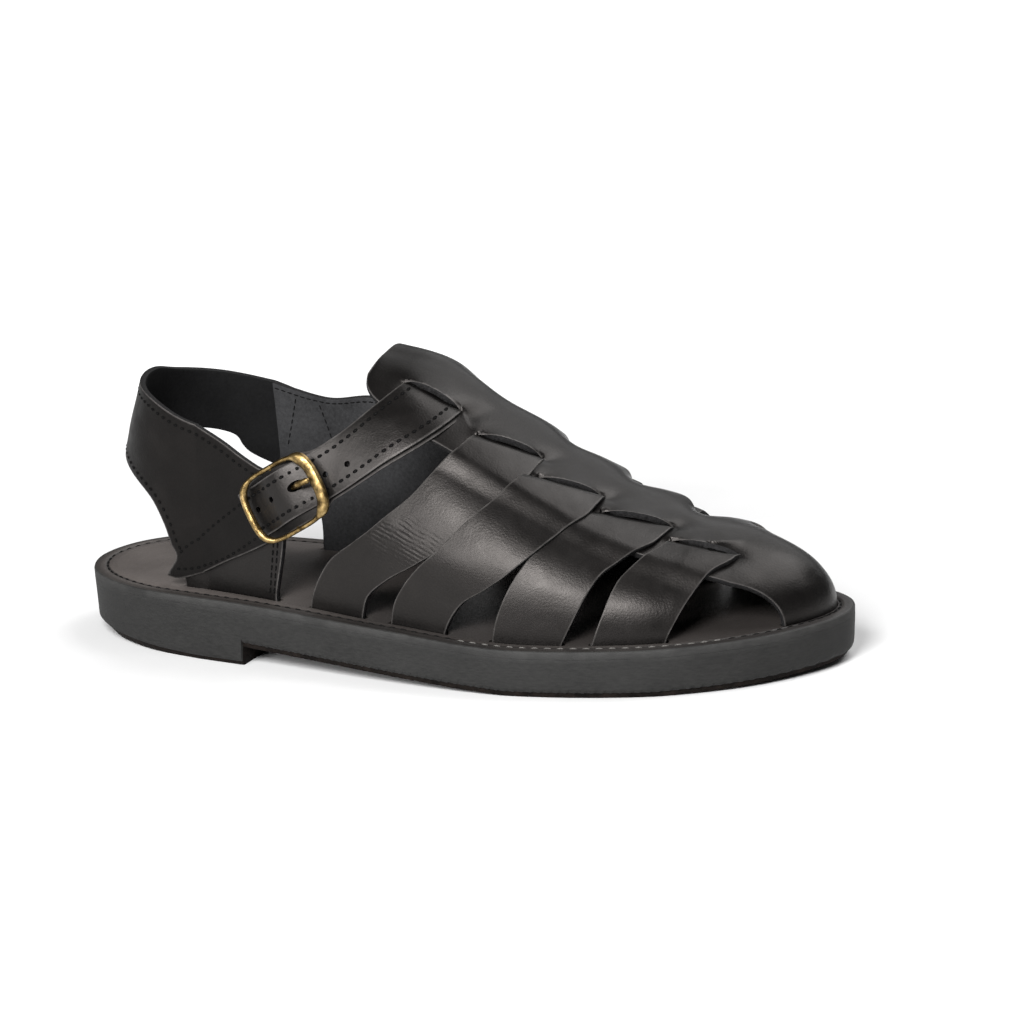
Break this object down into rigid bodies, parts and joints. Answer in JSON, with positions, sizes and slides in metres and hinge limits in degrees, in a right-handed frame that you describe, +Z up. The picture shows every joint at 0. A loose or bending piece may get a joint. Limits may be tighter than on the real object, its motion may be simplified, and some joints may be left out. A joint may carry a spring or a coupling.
{
  "type": "fisherman sandal",
  "caption": "Closed-toe fisherman sandal for the right foot: woven leather straps through a centre strip, heel band, buckled ankle strap and a low-heeled rubber sole.",
  "frame": {"origin": "middle of the sole's outline on the ground, under the standing sandal", "axes": "+X from heel to toe, +Y towards the inner side of the right foot, +Z up; the buckle is on the -Y side"},
  "size_m": [0.2898, 0.108, 0.1066],
  "materials": {
    "sole_rubber": "matte dark grey with a fine brushed grain on the side wall",
    "black_leather": "smooth semi-gloss black, suede on the inside, paler at the cut edges",
    "insole_leather": "matte brown-grey",
    "brass": "antique brass, satin with darker hollows"
  },
  "bodies": {
    "root": {"outsole": "sole_rubber", "insole": "insole_leather", "upper": "black_leather", "heel_band": "black_leather", "side_tab": "black_leather", "inner_quarter": "black_leather", "ankle_strap": "black_leather", "buckle_frame": "brass", "buckle_prong": "brass"}
  },
  "joints": []
}
